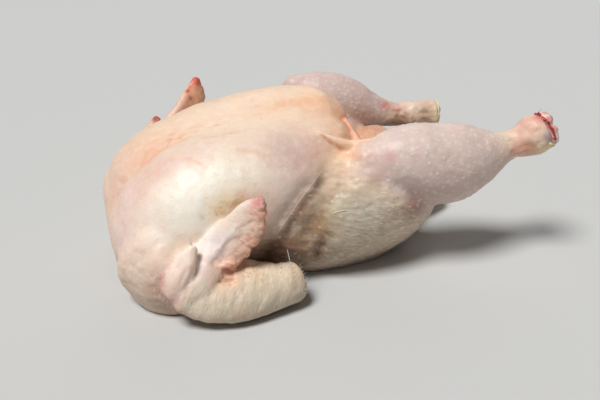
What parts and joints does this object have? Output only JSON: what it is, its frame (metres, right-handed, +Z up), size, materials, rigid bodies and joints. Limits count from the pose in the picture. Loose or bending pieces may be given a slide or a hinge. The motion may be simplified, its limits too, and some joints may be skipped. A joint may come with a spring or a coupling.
{
  "type": "raw whole chicken",
  "caption": "Raw whole chicken, plucked and drawn, lying on its back with its legs untied and its wings folded.",
  "frame": {"origin": "middle of the bounding box in X and Y, at the plane that the back rests on", "axes": "+X from the neck end to the hocks, +Y to the bird's left side, +Z up from the back to the breastbone"},
  "size_m": [0.2912, 0.1964, 0.1085],
  "materials": {
    "skin": "satin, moist skin"
  },
  "bodies": {
    "root": {"chicken": "skin"}
  },
  "joints": []
}
